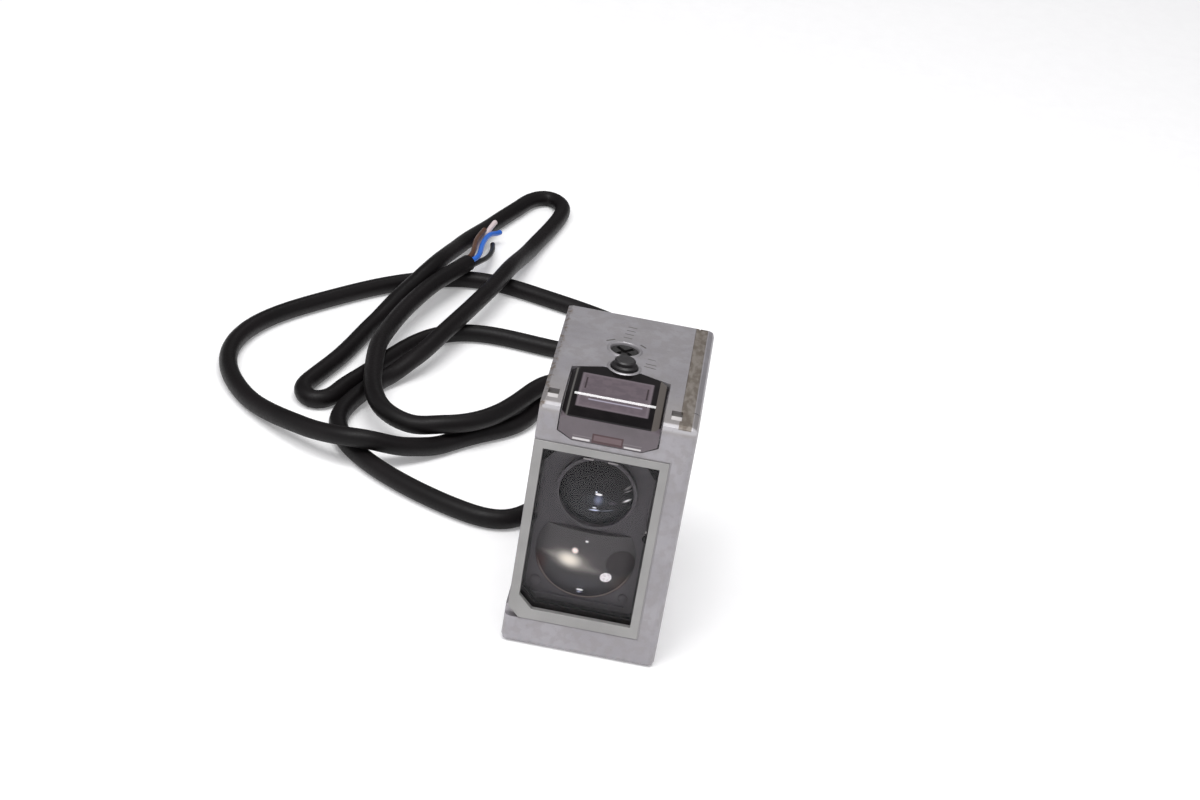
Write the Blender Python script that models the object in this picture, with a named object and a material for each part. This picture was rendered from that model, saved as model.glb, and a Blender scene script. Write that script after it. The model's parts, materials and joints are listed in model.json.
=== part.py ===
"""Photoelectric sensor with a free cable, modelled as separate pieces.

Frame: +Z up, the lenses look along -Y, +X is to the right when you face the lenses.
The origin is the middle of the footprint of the housing, on the surface it stands on.
Every size below is in millimetres; mm() turns it into metres where a mesh is made.
"""

import math

import bmesh
import bpy
import numpy as np
from mathutils import Matrix, Vector

# ---------------------------------------------------------------- driving dimensions
GAP = 0.3  # clearance between neighbouring pieces

BODY_X = (-18.0, 18.0)
BODY_Y = (-26.7, 27.0)
BODY_Z = (0.0, 63.0)
BODY_ROUND = 1.4  # edge rounding of the outer shell
STEP_X = -17.5  # left wall above the foot
STEP_Z = 9.5  # top of the foot
SPLIT_X = 14.2  # right rim of the housing, where the side cover meets it
SPLIT_Y = -18.5  # in front of this the housing keeps its full width
STRIP_X = (13.5, 16.3)  # shallow groove along the top of the joint
STRIP_Z = 62.7
CAVITY_Y = (-21.9, 24.4)
CAVITY_Z = (2.5, 59.5)
CAVITY_X = (-15.3, 12.5)
SIDE_OPEN_Y = (-15.5, 24.4)  # opening that the side cover closes

POCKET_Y = (-23.4, -18.9)  # shallow square pockets in the two front corners
POCKET_Z = 62.0

SLEEVE_Y = 19.2  # the two mounting holes run along X
SLEEVE_Z = (14.5, 46.5)
SLEEVE_R = 3.0
MOUNT_HOLE_R = 2.2

SCREW_Y = (-13.2, 22.1)
SCREW_Z = (4.8, 57.2)
SCREW_R = 1.1
SCREW_HEAD_R = 2.1
SCREW_HEAD = 1.3
SCREW_TIP_X = 8.2
BOSS = 4.6  # side of the square screw bosses
BOSS_X = (7.0, 11.3)

PLUG_X = 11.6  # inner end of the side cover's plug
SEAL_WIDTH = 0.9

BEZEL_X = (-17.3, 13.1)
BEZEL_Z = (7.3, 53.7)
BEZEL_Y = (-27.0, -25.7)
BEZEL_CHAMFER = 2.6
WINDOW_OPEN_X = (-15.2, 11.1)
WINDOW_OPEN_Z = (10.0, 51.8)
WINDOW_CHAMFER = 3.3
WINDOW_X = (-16.3, 12.1)
WINDOW_Z = (8.4, 52.8)
WINDOW_Y = (-25.4, -24.4)
SEAT_Y = -23.3  # floor of the window's recess
WALL_OPEN_X = (-14.6, 10.6)
WALL_OPEN_Z = (10.6, 51.2)

LENS_PLATE_X = (-15.0, 11.0)
LENS_PLATE_Y = (-21.6, -20.4)
LENS_PLATE_Z = (9.2, 53.0)
TX_CENTRE = (-1.9, 40.9)  # x, z of the upper lens
TX_R = 8.2
TX_RING_R = (8.5, 9.25)
TX_RING_Y = (-23.2, -21.9)
RX_CENTRE = (-2.0, 24.1)  # x, z of the lower lens
RX_R = 11.35
RX_TOP = 30.4  # the lower lens is cut flat here
LENS_EDGE_Y = (-21.7, -20.2)
TX_DOME = 2.0
RX_DOME = 2.3

COVER_X = (-12.6, 9.7)
COVER_CREASE_Y = -18.5
COVER_WALL = 1.6
COVER_SKIRT_Z = 55.4
COVER_SKIRT_CUT = (3.2, 1.8)  # width and height of the skirt's cut corners
COVER_REAR_Y = (-6.6, -3.9)  # rear edge at the sides and in the middle
COVER_REAR_X = (-5.9, 2.8)
COVER_BROW_Z = 61.2  # height of the cover where it turns down into the skirt

BUTTON_XY = (-1.2, -2.2)
BUTTON_RING_R = (3.3, 3.7)
BUTTON_FLANGE_R = 3.0
BUTTON_CAP_R = 2.45
BUTTON_TOP_Z = 65.1
DIAL_XY = (-2.0, 6.9)
DIAL_R = 3.2
DIAL_BEZEL_R = (3.5, 3.9)

GLAND_X = -2.0
GLAND_Z = 10.5
GLAND_R = 4.0
RELIEF_END_Y = 38.7

CABLE_R = 2.5
CORE_R = 0.8
CABLE_POINTS = 80  # points of the plain tube
CORE_POINTS = 10
TURN_SHARE = 6.0  # extra length that a turn of one radian counts for when points are spread

# The cable's middle line, from the strain relief to the cut end. It lies on the surface and
# rises where it passes over itself.
CABLE_ROUTE = [
    # out of the strain relief and round to the left, behind the housing
    (-2, 39, 10.5), (-2, 53, 10.2), (-2, 83, 2.5), (-2.5, 98, 2.5), (-7, 107.5, 2.5), (-14.5, 110, 2.5),
    (-21, 104, 2.5), (-24.5, 90, 2.5),
    # the wide loop, which passes over the last stretch before the housing
    (-29, 75, 2.5), (-38, 65.2, 2.5), (-46, 56, 2.6), (-54, 47.5, 4.6), (-66, 41, 8),
    (-82, 46.5, 5.5), (-101, 63, 2.5), (-110.5, 84, 2.5), (-107, 107, 2.5), (-92, 130, 2.5),
    (-74, 150, 2.5), (-53, 161, 2.5),
    # back behind the housing and out again
    (-34, 158, 2.5), (-14, 151, 2.5), (-3, 142, 2.5), (-5, 130, 2.5), (-16, 124.5, 2.5),
    (-32, 125, 2.5), (-48, 125, 2.5), (-60, 117, 2.5), (-68, 101, 2.5), (-73.7, 86, 2.5),
    # the tight fold at the left
    (-77.3, 76.5, 2.5), (-79.6, 70, 2.5), (-83.4, 67.4, 2.5), (-86.8, 71, 2.5), (-86.1, 79, 2.5),
    # over the wide loop to the fold at the back
    (-81.3, 96.5, 2.5), (-77, 119, 2.6), (-71.9, 136, 5.7), (-66.1, 154, 8.2), (-61.7, 179, 5.2),
    (-55, 206, 2.5), (-49.5, 222, 2.5), (-46, 230.6, 2.5), (-41.2, 234, 2.5), (-36.5, 230, 2.5),
    # over the wide loop again, and under it to the housing
    (-36.4, 216, 2.5), (-41, 189, 3.6), (-45.3, 158, 7.8), (-50.2, 133.7, 8), (-55.1, 114, 7.8),
    (-61, 96.5, 5.8), (-67.4, 86.5, 2.8), (-72.7, 73, 2.5), (-74, 56, 2.5), (-60, 37.3, 2.5),
    (-38, 25, 2.5), (-28, 22.9, 2.5),
    # behind the housing, then over everything to the cut end
    (-22.3, 25.6, 2.5), (-15, 38, 2.5), (-8.8, 58, 2.5), (-7.9, 74, 2.8), (-9.8, 87, 4.8), (-15.8, 94.5, 7.4),
    (-23, 91.5, 7.9), (-28.7, 80, 7.9), (-36, 65.5, 7.9), (-46, 57.3, 7.9), (-55.3, 56, 6.8),
    (-63, 60, 7.3), (-67.8, 69, 8), (-70, 80, 8), (-71.6, 95, 8), (-70.9, 110, 7.2),
    (-68, 127, 7.4), (-63.2, 143.5, 8), (-57, 160, 8),
]
CORE_ROUTES = {
    "core_blue": (
        "blue_core",
        [(-56.1, 159.97, 8.85), (-54.7, 164.6, 8.7), (-55, 175, 7.4), (-54.4, 189, 5.6), (-52, 195.7, 4.2)],
    ),
    "core_brown": (
        "brown_core",
        [(-57.68, 160.59, 8.85), (-56.6, 165.2, 8.9), (-57.1, 175, 8.1), (-57, 184, 7.1), (-56.4, 190, 6.5)],
    ),
    "core_black": (
        "black_core",
        [(-56.1, 159.97, 7.15), (-54.4, 164.5, 6.8), (-52.6, 173, 5.2), (-52.4, 183, 3.4), (-53.2, 190, 2.2)],
    ),
    "core_white": (
        "white_core",
        [(-57.68, 160.59, 7.15), (-57, 166, 6.7), (-57.2, 175, 5.9), (-56.4, 187, 4.3), (-54.3, 199, 5.8)],
    ),
}

# ---------------------------------------------------------------- colours
COLOURS = {
    # name: (red, green, blue), roughness, metallic
    "die_cast": ((0.36, 0.35, 0.37), 0.45, 0.9),
    "satin_frame": ((0.45, 0.46, 0.44), 0.4, 0.9),
    "bright_steel": ((0.62, 0.61, 0.6), 0.25, 1.0),
    "tinted_window": ((0.10, 0.09, 0.11), 0.08, 0.0),
    "lens": ((0.55, 0.55, 0.6), 0.05, 0.0),
    "dark_plastic": ((0.05, 0.045, 0.055), 0.45, 0.0),
    "smoked_cover": ((0.07, 0.05, 0.06), 0.08, 0.0),
    "indicator": ((0.25, 0.12, 0.12), 0.3, 0.0),
    "black_button": ((0.015, 0.014, 0.015), 0.4, 0.0),
    "rubber": ((0.02, 0.02, 0.02), 0.8, 0.0),
    "circuit_board": ((0.02, 0.13, 0.06), 0.5, 0.0),
    "component": ((0.03, 0.03, 0.035), 0.5, 0.0),
    "cable_sheath": ((0.013, 0.011, 0.012), 0.5, 0.0),
    "blue_core": ((0.03, 0.16, 0.63), 0.45, 0.0),
    "brown_core": ((0.10, 0.04, 0.02), 0.45, 0.0),
    "black_core": ((0.02, 0.02, 0.02), 0.45, 0.0),
    "white_core": ((0.75, 0.68, 0.68), 0.45, 0.0),
}


def mm(*values):
    """Millimetres to metres."""
    return tuple(v * 0.001 for v in values)


def clear_scene():
    for obj in list(bpy.data.objects):
        bpy.data.objects.remove(obj, do_unlink=True)


def material(name):
    """The named Principled material, made on first use."""
    found = bpy.data.materials.get(name)
    if found:
        return found
    colour, roughness, metallic = COLOURS[name]
    made = bpy.data.materials.new(name)
    made.use_nodes = True
    shader = made.node_tree.nodes["Principled BSDF"]
    shader.inputs["Base Color"].default_value = (*colour, 1.0)
    shader.inputs["Roughness"].default_value = roughness
    shader.inputs["Metallic"].default_value = metallic
    made.diffuse_color = (*colour, 1.0)
    return made


def add_object(name, data, finish, centre=(0, 0, 0)):
    """Link an object with its material at a centre given in millimetres."""
    obj = bpy.data.objects.new(name, data)
    bpy.context.scene.collection.objects.link(obj)
    obj.location = mm(*centre)
    if finish:
        data.materials.append(material(finish))
    return obj


def from_bmesh(name, bm, finish, centre=(0, 0, 0), smooth=False):
    bmesh.ops.recalc_face_normals(bm, faces=bm.faces)
    mesh = bpy.data.meshes.new(name)
    bm.to_mesh(mesh)
    bm.free()
    if smooth:
        mesh.shade_smooth()
        mesh.set_sharp_from_angle(angle=math.radians(35))
    return add_object(name, mesh, finish, centre)


def box(name, x, y, z, finish=None, rounding=0.0, segments=2):
    """A box between the given limits, with its edges rounded if asked."""
    bm = bmesh.new()
    size = mm(x[1] - x[0], y[1] - y[0], z[1] - z[0])
    bmesh.ops.create_cube(bm, size=1.0, matrix=Matrix.Diagonal((*size, 1.0)))
    if rounding:
        bmesh.ops.bevel(
            bm, geom=bm.edges[:], offset=rounding * 0.001, segments=segments, profile=0.5, affect="EDGES"
        )
    centre = (sum(x) / 2, sum(y) / 2, sum(z) / 2)
    return from_bmesh(name, bm, finish, centre)


def plate(name, outline, y, finish=None):
    """A plate of the (x, z) outline between two y values."""
    bm = bmesh.new()
    face = bm.faces.new([bm.verts.new(mm(x, y[0], z)) for x, z in outline])
    side = bmesh.ops.extrude_face_region(bm, geom=[face])["geom"]
    moved = [v for v in side if isinstance(v, bmesh.types.BMVert)]
    bmesh.ops.translate(bm, verts=moved, vec=mm(0, y[1] - y[0], 0))
    return from_bmesh(name, bm, finish)


def turned(name, profile, axis, centre, finish=None, steps=32):
    """Spin a closed (radius, height) profile about an axis through centre."""
    bm = bmesh.new()
    verts = [bm.verts.new(mm(r, 0, h)) for r, h in profile]
    edges = [bm.edges.new((a, b)) for a, b in zip(verts, verts[1:] + verts[:1])]
    bmesh.ops.spin(
        bm, geom=verts + edges, cent=(0, 0, 0), axis=(0, 0, 1), angle=math.tau, steps=steps, use_merge=True
    )
    bmesh.ops.remove_doubles(bm, verts=bm.verts, dist=1e-6)
    flat = [e for e in bm.edges if e.is_wire]
    bmesh.ops.delete(bm, geom=flat, context="EDGES")
    collapsed = [f for f in bm.faces if f.calc_area() < 1e-14]
    bmesh.ops.delete(bm, geom=collapsed, context="FACES_ONLY")
    turn = Vector((0, 0, 1)).rotation_difference(Vector(axis)).to_matrix().to_4x4()
    bm.transform(turn)
    return from_bmesh(name, bm, finish, centre, smooth=True)


def disc(radius, low, high):
    """Profile of a solid cylinder."""
    return [(0, low), (radius, low), (radius, high), (0, high)]


def ring(inner, outer, low, high):
    """Profile of a flat ring."""
    return [(inner, low), (outer, low), (outer, high), (inner, high)]


def boolean(target, other, operation):
    """Cut other from target, or join it on, and hide other."""
    change = target.modifiers.new(f"{operation.lower()}_{other.name}", "BOOLEAN")
    change.operation = operation
    change.solver = "EXACT"
    change.object = other
    other.hide_render = True
    other.display_type = "WIRE"


def cut(target, *cutters):
    for cutter in cutters:
        boolean(target, cutter, "DIFFERENCE")


def chamfered(x, z, chamfer):
    """Rectangle in x and z whose lower left corner is cut off."""
    return [(x[0] + chamfer, z[0]), (x[1], z[0]), (x[1], z[1]), (x[0], z[1]), (x[0], z[0] + chamfer)]


def grown(limits, by):
    return (limits[0] - by, limits[1] + by)


# ---------------------------------------------------------------- outer shell
def outer_shell(name, finish):
    """The rounded outer block that the housing and the side cover are both cut from."""
    shell = box(name, BODY_X, BODY_Y, BODY_Z, finish, rounding=BODY_ROUND)
    above = box(name + "_step_cutter", (BODY_X[0] - 5, STEP_X), (-40, 40), (STEP_Z, 80))
    cut(shell, above)
    return shell


def screw_places():
    return [(y, z) for z in SCREW_Z for y in SCREW_Y]


def screw_holes(name, steps):
    """Cutters along X at every screw place. steps is a list of (radius, from x, to x)."""
    profile = [(0, steps[0][1])]
    for radius, low, high in steps:
        profile += [(radius, low), (radius, high)]
    profile.append((0, steps[-1][2]))
    for number, (y, z) in enumerate(screw_places(), 1):
        yield turned(f"{name}_{number}", profile, (1, 0, 0), (0, y, z), steps=16)


def sleeve_holes(name):
    for number, z in enumerate(SLEEVE_Z, 1):
        profile = disc(SLEEVE_R + GAP, -30, 30)
        yield turned(f"{name}_{number}", profile, (1, 0, 0), (0, SLEEVE_Y, z), steps=24)


def main_housing():
    housing = outer_shell("main_housing", "die_cast")
    cut(
        housing,
        box("housing_split", (SPLIT_X, 40), (SPLIT_Y, 40), (-10, 80)),
        box("housing_strip", (STRIP_X[0], 40), (SPLIT_Y, 26), (STRIP_Z, 80)),
        box("housing_cavity", CAVITY_X, CAVITY_Y, CAVITY_Z),
        box("side_opening", (CAVITY_X[1] - 1, 40), SIDE_OPEN_Y, CAVITY_Z),
    )
    for number, (y, z) in enumerate(screw_places(), 1):
        near_y = SIDE_OPEN_Y[0] - 1 if y < 0 else SIDE_OPEN_Y[1] + 1
        near_z = CAVITY_Z[0] - 1 if z < 30 else CAVITY_Z[1] + 1
        inner_y = SIDE_OPEN_Y[0] + BOSS if y < 0 else SIDE_OPEN_Y[1] - BOSS
        inner_z = CAVITY_Z[0] + BOSS if z < 30 else CAVITY_Z[1] - BOSS
        limits_y = tuple(sorted((near_y, inner_y)))
        limits_z = tuple(sorted((near_z, inner_z)))
        boolean(housing, box(f"housing_boss_{number}", BOSS_X, limits_y, limits_z), "UNION")
    cut(housing, *screw_holes("housing_screw_hole", [(SCREW_R + GAP, SCREW_TIP_X - GAP, 30)]))
    cut(housing, *sleeve_holes("housing_sleeve_hole"))
    front_openings(housing)
    top_openings(housing)
    gland_hole = turned(
        "housing_gland_hole", disc(GLAND_R + GAP, 20, 30), (0, 1, 0), (GLAND_X, 0, GLAND_Z), steps=24
    )
    cut(housing, gland_hole)


def front_openings(housing):
    """Bezel recess, window recess and the opening behind them, and the indicator's slot."""
    bezel = [(-30, BEZEL_Z[0] - GAP), (BEZEL_X[1] + GAP, BEZEL_Z[0] - GAP)]
    bezel += [(BEZEL_X[1] + GAP, BEZEL_Z[1] + GAP), (-30, BEZEL_Z[1] + GAP)]
    window = chamfered(grown(WINDOW_X, GAP), grown(WINDOW_Z, GAP), WINDOW_CHAMFER)
    opening = chamfered(WALL_OPEN_X, WALL_OPEN_Z, WINDOW_CHAMFER)
    cut(
        housing,
        plate("bezel_recess", bezel, (-40, BEZEL_Y[1] + GAP)),
        plate("window_recess", window, (-30, SEAT_Y)),
        plate("wall_opening", opening, (-30, CAVITY_Y[0] + 1)),
        box("indicator_slot", (-5.2, 2.4), (-30, CAVITY_Y[0] + 1), (55.7, 57.9)),
    )


def top_openings(housing):
    """Recess of the display cover, the display's opening, and the wells of button and dial."""
    bx, by = BUTTON_XY
    dx, dy = DIAL_XY
    up = (0, 0, 1)
    cut(
        housing,
        display_cover_solid("cover_recess", GAP),
        box("display_opening", (-10.2, 7.2), (-20.5, -7.6), (58, 62.5)),
        turned("button_well", disc(BUTTON_RING_R[1] + GAP, 61.25, 70), up, (bx, by, 0), steps=32),
        turned("button_bore", disc(1.6, 55, 62), up, (bx, by, 0), steps=16),
        turned("dial_rim_well", disc(DIAL_BEZEL_R[1] + GAP, 61.7, 70), up, (dx, dy, 0), steps=32),
        turned("dial_well", disc(DIAL_R + GAP, 60.9, 62), up, (dx, dy, 0), steps=32),
        turned("dial_bore", disc(2.7, 55, 61.2), up, (dx, dy, 0), steps=24),
        box("left_pocket", (-16.5, -14.0), POCKET_Y, (POCKET_Z, 70)),
        box("right_pocket", (11.4, 13.9), POCKET_Y, (POCKET_Z, 70)),
    )


def side_cover():
    """Plate that closes the right side, with a plug that goes into the cavity."""
    cover = outer_shell("side_cover", "die_cast")
    cut(
        cover,
        box("cover_split", (-40, SPLIT_X + GAP), (-40, 40), (-10, 80)),
        box("cover_front", (-40, 40), (-40, SPLIT_Y + GAP), (-10, 80)),
        box("cover_strip", (0, STRIP_X[1]), (-40, 26), (STRIP_Z, 80)),
    )
    inset = 2 * GAP + SEAL_WIDTH
    plug = box("cover_plug", (PLUG_X, SPLIT_X + 1), grown(SIDE_OPEN_Y, -inset), grown(CAVITY_Z, -inset))
    boolean(cover, plug, "UNION")
    cut(cover, box("cover_pocket", (0, 16.2), (-9, 14), (9, 53)))
    seat_x = BODY_X[1] - SCREW_HEAD - GAP
    steps = [(SCREW_R + GAP, 0, seat_x), (SCREW_HEAD_R + GAP, seat_x, 30)]
    cut(cover, *screw_holes("cover_screw_hole", steps))
    cut(cover, *sleeve_holes("cover_sleeve_hole"))


def cover_gasket():
    outer_y = grown(SIDE_OPEN_Y, -GAP)
    outer_z = grown(CAVITY_Z, -GAP)
    seal = box("cover_gasket", (PLUG_X, SPLIT_X - GAP), outer_y, outer_z, "rubber")
    hole = box("cover_gasket_hole", (0, 30), grown(outer_y, -SEAL_WIDTH), grown(outer_z, -SEAL_WIDTH))
    cut(seal, hole)


def cover_screws():
    """Four screws with a hexagon socket, driven in from the right."""
    head_x = BODY_X[1] - SCREW_HEAD
    profile = [
        (0, SCREW_TIP_X),
        (SCREW_R, SCREW_TIP_X),
        (SCREW_R, head_x),
        (SCREW_HEAD_R, head_x),
        (SCREW_HEAD_R, BODY_X[1] - 0.2),
        (0, BODY_X[1] - 0.2),
    ]
    for number, (y, z) in enumerate(screw_places(), 1):
        screw = turned(f"cover_screw_{number}", profile, (1, 0, 0), (0, y, z), "bright_steel", steps=16)
        socket = turned(
            f"screw_socket_{number}", disc(0.9, BODY_X[1] - 0.9, 30), (1, 0, 0), (0, y, z), steps=6
        )
        cut(screw, socket)


def mounting_sleeves():
    for name, z in zip(("mounting_sleeve_lower", "mounting_sleeve_upper"), SLEEVE_Z):
        profile = ring(MOUNT_HOLE_R, SLEEVE_R, STEP_X + 0.2, BODY_X[1] - 0.2)
        turned(name, profile, (1, 0, 0), (0, SLEEVE_Y, z), "bright_steel", steps=24)


# ---------------------------------------------------------------- front
def window_bezel():
    frame = plate("window_bezel", chamfered(BEZEL_X, BEZEL_Z, BEZEL_CHAMFER), BEZEL_Y, "satin_frame")
    cut(frame, plate("bezel_hole", chamfered(WINDOW_OPEN_X, WINDOW_OPEN_Z, WINDOW_CHAMFER), (-40, 0)))


def front_window():
    plate("front_window", chamfered(WINDOW_X, WINDOW_Z, WINDOW_CHAMFER), WINDOW_Y, "tinted_window")


def window_gasket():
    y = (WINDOW_Y[1] + GAP, SEAT_Y - GAP)
    seal = plate("window_gasket", chamfered(WINDOW_X, WINDOW_Z, WINDOW_CHAMFER), y, "rubber")
    hole = chamfered(grown(WALL_OPEN_X, 0.2), grown(WALL_OPEN_Z, 0.2), WINDOW_CHAMFER)
    cut(seal, plate("window_gasket_hole", hole, (-40, 0)))


def lens(name, centre, radius, dome, finish, steps):
    """A plano-convex lens that bulges towards -Y. Its heights run along +Y."""
    front, back = LENS_EDGE_Y
    curve = (radius**2 + dome**2) / (2 * dome)
    rings = 6
    profile = [(0, back), (radius, back), (radius, front)]
    for k in range(rings - 1, 0, -1):
        r = radius * k / rings
        profile.append((r, front - dome + curve - math.sqrt(curve**2 - r**2)))
    profile.append((0, front - dome))
    return turned(name, profile, (0, 1, 0), (centre[0], 0, centre[1]), finish, steps)


def lenses():
    lens("transmitter_lens", TX_CENTRE, TX_R, TX_DOME, "lens", 32)
    lower = lens("receiver_lens", RX_CENTRE, RX_R, RX_DOME, "lens", 40)
    cut(lower, box("receiver_lens_top", (-30, 30), (-40, 0), (RX_TOP, 60)))


def lens_plate():
    """Dark panel that holds both lenses."""
    panel = box("lens_plate", LENS_PLATE_X, LENS_PLATE_Y, LENS_PLATE_Z, "dark_plastic")
    upper = turned(
        "upper_lens_hole", disc(TX_R + GAP, -30, 0), (0, 1, 0), (TX_CENTRE[0], 0, TX_CENTRE[1]), steps=32
    )
    lower = turned(
        "lower_lens_hole", disc(RX_R + GAP, -30, 0), (0, 1, 0), (RX_CENTRE[0], 0, RX_CENTRE[1]), steps=40
    )
    cut(lower, box("lower_lens_hole_top", (-30, 30), (-40, 5), (RX_TOP + GAP, 60)))
    cut(panel, upper, lower)


def transmitter_ring():
    profile = ring(*TX_RING_R, *TX_RING_Y)
    turned("transmitter_ring", profile, (0, 1, 0), (TX_CENTRE[0], 0, TX_CENTRE[1]), "dark_plastic", 40)


# ---------------------------------------------------------------- inside
def optics_holder():
    """Block with a light tunnel behind each lens and a seat for source and receiver."""
    holder = box("optics_holder", (-14.5, 9.2), (-19.9, -5.0), (11.5, 51.5), "dark_plastic")
    tx, tz = TX_CENTRE
    rx, rz = RX_CENTRE
    along = (0, 1, 0)
    cut(
        holder,
        turned("upper_tunnel", disc(7.6, -30, -7), along, (tx, 0, tz), steps=24),
        turned("lower_tunnel", disc(8.0, -30, -7), along, (rx, 0, rz - 1.2), steps=24),
        turned("source_seat", disc(3.1, -10, 0), along, (tx, 0, tz), steps=16),
        box("receiver_seat", (rx - 2.6, rx + 2.6), (-10, 0), (rz - 2.6, rz + 2.6)),
    )


def optics():
    tx, tz = TX_CENTRE
    rx, rz = RX_CENTRE
    profile = [(0, -8.2), (2.2, -8.2), (2.2, -6.0), (2.8, -6.0), (2.8, -4.2), (0, -4.2)]
    turned("laser_diode", profile, (0, 1, 0), (tx, 0, tz), "bright_steel", steps=16)
    box("receiver_diode", (rx - 2.2, rx + 2.2), (-6.6, -5.0), (rz - 2.2, rz + 2.2), "component")
    box("receiver_board", (-12, 8), (-4.7, -3.7), (13, 35), "circuit_board")


def boards():
    box("main_board", (9.8, 11.0), (-18, 14), (9.5, 53), "circuit_board")
    box("display_board", (-12.5, 6.6), (-21.2, 12), (54.0, 55.0), "circuit_board")
    box("display_module", (-9.6, 6.6), (-20.2, -7.9), (55.3, 60.7), "component")
    box("output_indicator", (-4.9, 2.1), (-24.8, -22.2), (56.0, 57.6), "indicator")
    bx, by = BUTTON_XY
    dx, dy = DIAL_XY
    half = 2.5
    plunger = [(0, 55.3), (half, 55.3), (half, 57.2), (1.2, 57.2), (1.2, 57.9), (0, 57.9)]
    turned("tact_switch", plunger, (0, 0, 1), (bx, by, 0), "component", steps=16)
    box("selector_switch", (dx - 3, dx + 3), (dy - 3, dy + 3), (55.3, 57.3), "component")


# ---------------------------------------------------------------- top
def display_cover_section(x, grow):
    """The cover's cross-section in y and z at one x, grown by a clearance."""
    left, right = COVER_X
    inner_left, inner_right = COVER_REAR_X
    if x < inner_left:
        share = (inner_left - x) / (inner_left - left)
    else:
        share = max(0.0, (x - inner_right) / (right - inner_right))
    rear = COVER_REAR_Y[1] + share * (COVER_REAR_Y[0] - COVER_REAR_Y[1])
    cut_width, cut_height = COVER_SKIRT_CUT
    edge = min(x - left, right - x)
    skirt = COVER_SKIRT_Z + cut_height * max(0.0, 1 - edge / cut_width)
    top = BODY_Z[1] + (10 if grow else 0)
    front = BEZEL_Y[0] - (10 if grow else 0)
    brow = COVER_BROW_Z + (10 if grow else 0)
    under = BODY_Z[1] - COVER_WALL - grow
    inside = BEZEL_Y[0] + COVER_WALL + grow
    brow_under = COVER_BROW_Z - COVER_WALL - grow
    return [
        (front, skirt - grow),
        (front, brow - 0.6),
        (front + 0.6, brow),
        (COVER_CREASE_Y, top),
        (rear + grow, top),
        (rear + grow, under),
        (COVER_CREASE_Y, under),
        (inside + 0.4, brow_under),
        (inside, brow_under - 0.5),
        (inside, skirt - grow),
    ]


def display_cover_solid(name, grow, finish=None):
    """Loft the cross-sections along x into one closed shell."""
    left, right = COVER_X
    cut_width = COVER_SKIRT_CUT[0]
    stations = [left, left + cut_width, *COVER_REAR_X, right - cut_width, right]
    bm = bmesh.new()
    loops = []
    for x in stations:
        outward = grow * ((x == right) - (x == left))
        section = display_cover_section(x, grow)
        loops.append([bm.verts.new(mm(x + outward, y, z)) for y, z in section])
    for one, two in zip(loops, loops[1:]):
        for k in range(len(one)):
            after = (k + 1) % len(one)
            bm.faces.new((one[k], one[after], two[after], two[k]))
    bm.faces.new(loops[0])
    bm.faces.new(loops[-1])
    bmesh.ops.triangulate(bm, faces=bm.faces[:])
    return from_bmesh(name, bm, finish)


def display_cover():
    cover = display_cover_solid("display_cover", 0.0, "smoked_cover")
    notch = disc(BUTTON_RING_R[1] + GAP, 50, 70)
    cut(cover, turned("cover_button_notch", notch, (0, 0, 1), (*BUTTON_XY, 0), steps=32))


def push_button():
    """Button, its bright ring and its rubber seal."""
    place = (*BUTTON_XY, 0)
    up = (0, 0, 1)
    turned("button_ring", ring(*BUTTON_RING_R, 61.55, 63.2), up, place, "bright_steel", steps=32)
    turned("button_seal", ring(1.6, BUTTON_FLANGE_R, 61.55, 61.85), up, place, "rubber", steps=24)
    button = [
        (0, 58.3),
        (1.2, 58.3),
        (1.2, 62.45),
        (BUTTON_FLANGE_R, 62.45),
        (BUTTON_FLANGE_R, 63.7),
        (BUTTON_CAP_R, 64.0),
        (BUTTON_CAP_R, BUTTON_TOP_Z - 0.3),
        (BUTTON_CAP_R - 0.3, BUTTON_TOP_Z),
        (0, BUTTON_TOP_Z),
    ]
    turned("push_button", button, up, place, "black_button", steps=32)


def trimmer_dial():
    """Slotted dial, its bright rim and its O-ring."""
    place = (*DIAL_XY, 0)
    up = (0, 0, 1)
    turned("dial_bezel", ring(*DIAL_BEZEL_R, 62.0, 63.15), up, place, "bright_steel", steps=32)
    seal = [
        (1.95 + 0.4 * math.cos(math.tau * k / 8), 60.1 + 0.4 * math.sin(math.tau * k / 8)) for k in range(8)
    ]
    turned("dial_seal", seal, up, place, "rubber", steps=24)
    profile = [(0, 57.6), (1.2, 57.6), (1.2, 61.2), (DIAL_R, 61.2), (DIAL_R, 62.6), (0, 62.6)]
    dial = turned("trimmer_dial", profile, up, place, "black_button", steps=32)
    for number, turn in enumerate((45, 135), 1):
        slot = box(f"dial_slot_{number}", (-2.7, 2.7), (-0.5, 0.5), (61.9, 70))
        slot.location.x += DIAL_XY[0] * 0.001
        slot.location.y += DIAL_XY[1] * 0.001
        slot.rotation_euler.z = math.radians(turn)
        cut(dial, slot)


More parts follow.
